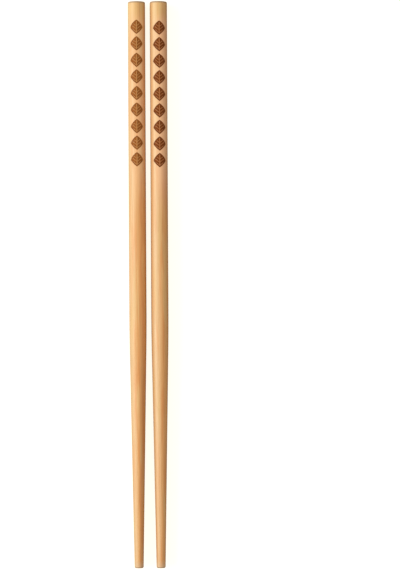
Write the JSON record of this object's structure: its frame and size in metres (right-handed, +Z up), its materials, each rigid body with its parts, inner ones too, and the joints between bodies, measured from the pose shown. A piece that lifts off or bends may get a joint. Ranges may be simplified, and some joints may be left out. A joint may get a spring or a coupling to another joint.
{
  "type": "pair of bamboo chopsticks",
  "caption": "Pair of round tapered bamboo chopsticks with eased ends and a column of burnt leaves on the upper side of each shank.",
  "frame": {"origin": "on the resting surface, under the middle of the pair", "axes": "+Y along the sticks towards their butt ends, +Z up from the resting surface, +X across the pair to the right stick"},
  "size_m": [0.0166, 0.24, 0.0073],
  "materials": {
    "bamboo": "satin"
  },
  "bodies": {
    "root": {"chopstick_left": "bamboo", "chopstick_right": "bamboo"}
  },
  "joints": []
}
